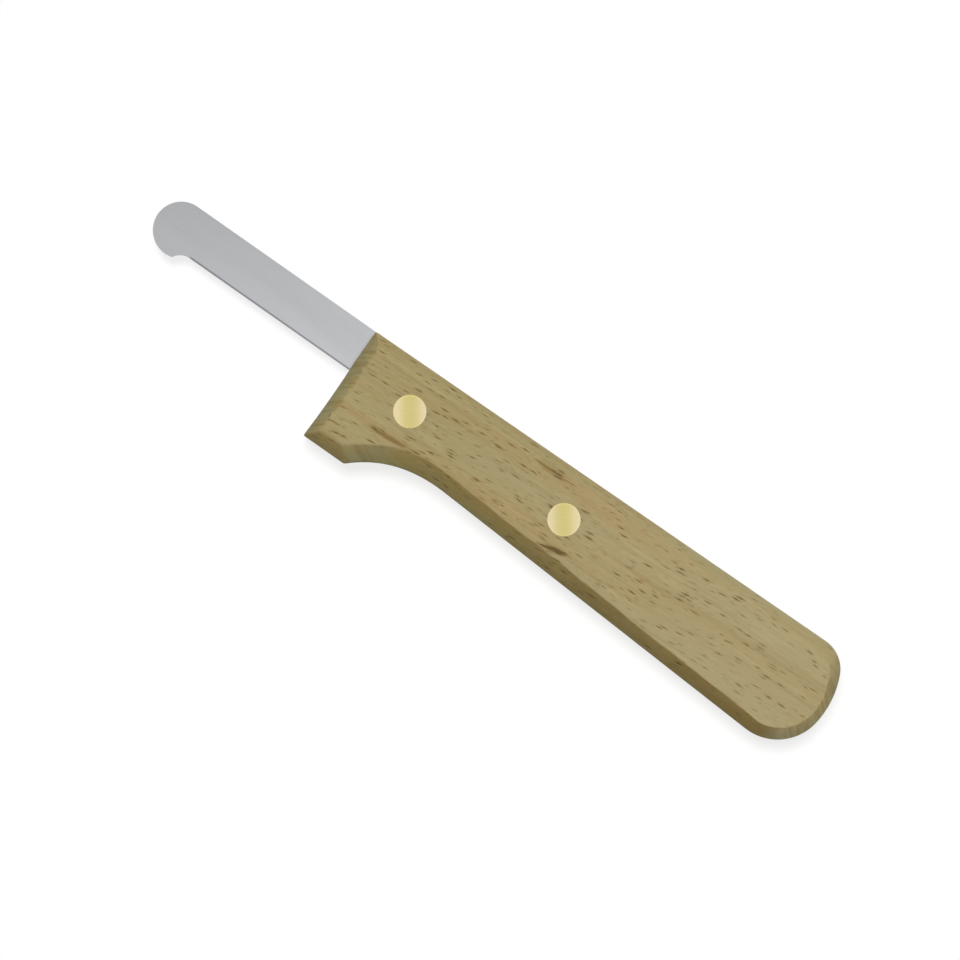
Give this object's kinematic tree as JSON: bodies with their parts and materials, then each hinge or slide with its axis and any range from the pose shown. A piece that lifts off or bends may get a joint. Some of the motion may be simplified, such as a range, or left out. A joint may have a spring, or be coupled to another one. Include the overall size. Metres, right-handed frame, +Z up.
{
  "type": "paring knife",
  "caption": "Short fixed-blade paring knife with a round button tip, its half tang riveted in the slot of a one-piece beech handle with a finger guard.",
  "frame": {"origin": "middle of the knife's box, on the surface that the lower side of the handle lies on", "axes": "+X along the knife from the tip to the butt, +Y from the cutting edge to the back, +Z up through the handle's thickness"},
  "size_m": [0.1684, 0.0266, 0.015],
  "materials": {
    "blade_steel": "fine satin grind",
    "beech": "sanded beech, thinly oiled",
    "rivet_brass": "ground flush and brushed"
  },
  "bodies": {
    "root": {"blade": "blade_steel", "handle": "beech", "front_rivet_tube": "rivet_brass", "front_rivet_pin": "rivet_brass", "rear_rivet_tube": "rivet_brass", "rear_rivet_pin": "rivet_brass"}
  },
  "joints": []
}
